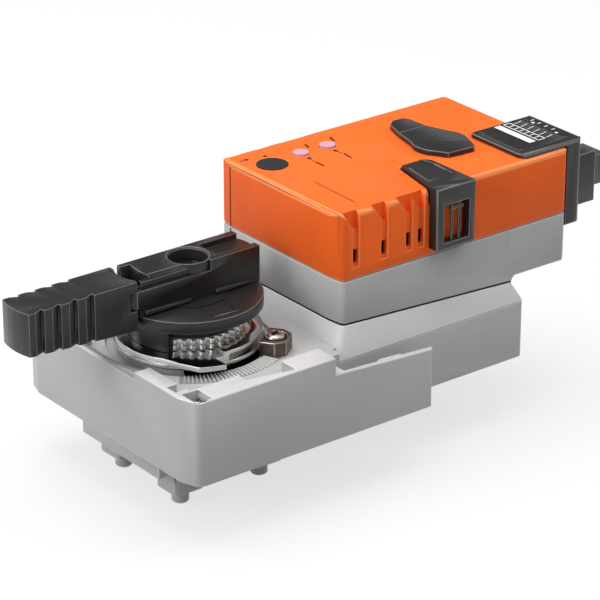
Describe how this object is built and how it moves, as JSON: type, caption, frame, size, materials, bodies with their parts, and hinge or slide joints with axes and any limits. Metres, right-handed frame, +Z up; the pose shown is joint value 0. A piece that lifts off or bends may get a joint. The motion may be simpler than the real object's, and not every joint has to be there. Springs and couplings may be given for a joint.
{
  "type": "rotary valve actuator",
  "caption": "Rotary actuator for a characterized control valve: geared drive with hand lever, adjustable end stops, position disc and an orange electronics cover.",
  "frame": {"origin": "on the valve spindle axis, in the mounting plane under the four foot pads", "axes": "+Z up the spindle axis towards the lever, +X towards the cable end, +Y to the far side"},
  "size_m": [0.2122, 0.088, 0.0867],
  "materials": {
    "cast_grey": "satin light grey die casting",
    "tray_grey": "fine-grained grey moulding",
    "orange_cover": "satin orange moulding",
    "black_plastic": "fine-grained black moulding",
    "black_rubber": "soft black seal",
    "bright_steel": "bright plated steel",
    "gear_steel": "machined steel",
    "stop_steel": "dark plated steel",
    "bronze": "sintered bronze",
    "board_green": "green circuit board",
    "button_pink": "clear pale pink lens",
    "stem_white": "natural white moulding"
  },
  "bodies": {
    "housing": {"valve_foot": "cast_grey", "gearbox_housing": "cast_grey", "gearbox_cover": "cast_grey", "lower_bush": "bronze", "upper_bush": "bronze", "idler_axle_one": "gear_steel", "idler_axle_two": "gear_steel", "gearbox_screws": "bright_steel", "joint_gasket": "black_rubber", "upper_housing": "tray_grey", "motor_can": "bright_steel", "motor_bush": "bronze", "circuit_board": "board_green", "board_parts": "black_plastic", "terminal_block": "board_green", "service_socket": "black_plastic", "top_cover": "orange_cover", "switch_plug": "black_plastic", "flap_anchor": "black_plastic", "terminal_cover": "black_plastic", "cable_gland": "black_plastic", "release_spring": "bright_steel"},
    "output": {"output_gear": "gear_steel", "output_shaft": "gear_steel", "serrated_ring": "bright_steel", "cam_plate": "bright_steel", "indicator_disc": "black_plastic", "lever_body": "black_plastic", "centre_screw": "bright_steel"},
    "handle": {"handle_grip": "black_plastic", "hex_key": "bright_steel"},
    "near_stop": {"near_block": "stop_steel", "near_screw": "bright_steel"},
    "far_stop": {"far_block": "stop_steel", "far_screw": "bright_steel"},
    "idler_one_gear": {"idler_one": "gear_steel"},
    "idler_two_gear": {"idler_two": "gear_steel"},
    "rotor": {"motor_rotor": "gear_steel"},
    "release": {"release_button": "black_plastic", "release_stem": "stem_white"},
    "button_one": {"push_button_one": "button_pink"},
    "button_two": {"push_button_two": "button_pink"},
    "flap": {"service_flap": "black_plastic"}
  },
  "joints": [
    {"name": "output_turn", "type": "hinge", "parent": "housing", "child": "output", "pos_m": [0, 0, 0.04], "axis": [0, 0, 1], "range_deg": [-53, 37]},
    {"name": "handle_pull", "type": "slide", "parent": "output", "child": "handle", "axis": [-1, 0, 0], "range_m": [0, 0.02]},
    {"name": "idler_one_turn", "type": "hinge", "parent": "housing", "child": "idler_one_gear", "pos_m": [0.031, 0, 0.03], "axis": [0, 0, 1], "range_deg": [-130, 185]},
    {"name": "idler_two_turn", "type": "hinge", "parent": "housing", "child": "idler_two_gear", "pos_m": [0.0534, 0, 0.03], "axis": [0, 0, 1], "range_deg": [-550, 385]},
    {"name": "rotor_turn", "type": "hinge", "parent": "housing", "child": "rotor", "pos_m": [0.0702, 0, 0.03], "axis": [0, 0, 1], "range_deg": [-1150, 1640]},
    {"name": "near_stop_shift", "type": "hinge", "parent": "housing", "child": "near_stop", "pos_m": [0, 0, 0.041], "axis": [0, 0, 1], "range_deg": [0, 20]},
    {"name": "far_stop_shift", "type": "hinge", "parent": "housing", "child": "far_stop", "pos_m": [0, 0, 0.041], "axis": [0, 0, 1], "range_deg": [-20, 0]},
    {"name": "release_press", "type": "slide", "parent": "housing", "child": "release", "axis": [0, 0, -1], "range_m": [0, 0.003], "stiffness_N_per_m": 300, "springref_m": -0.002, "deforming": ["release_spring"]},
    {"name": "button_one_press", "type": "slide", "parent": "housing", "child": "button_one", "axis": [0, 0, -1], "range_m": [0, 0.0008], "stiffness_N_per_m": 400, "springref_m": -0.0005},
    {"name": "button_two_press", "type": "slide", "parent": "housing", "child": "button_two", "axis": [0, 0, -1], "range_m": [0, 0.0008], "stiffness_N_per_m": 400, "springref_m": -0.0005},
    {"name": "flap_lift", "type": "hinge", "parent": "housing", "child": "flap", "pos_m": [0.0943, 0.0086, 0.0821], "axis": [-1, 0, 0], "range_deg": [0, 85]}
  ],
  "couplings": [
    {"joint": "idler_one_turn", "follows": "output_turn", "ratio": -3.4286},
    {"joint": "idler_two_turn", "follows": "output_turn", "ratio": 10.286},
    {"joint": "rotor_turn", "follows": "output_turn", "ratio": -30.857}
  ]
}
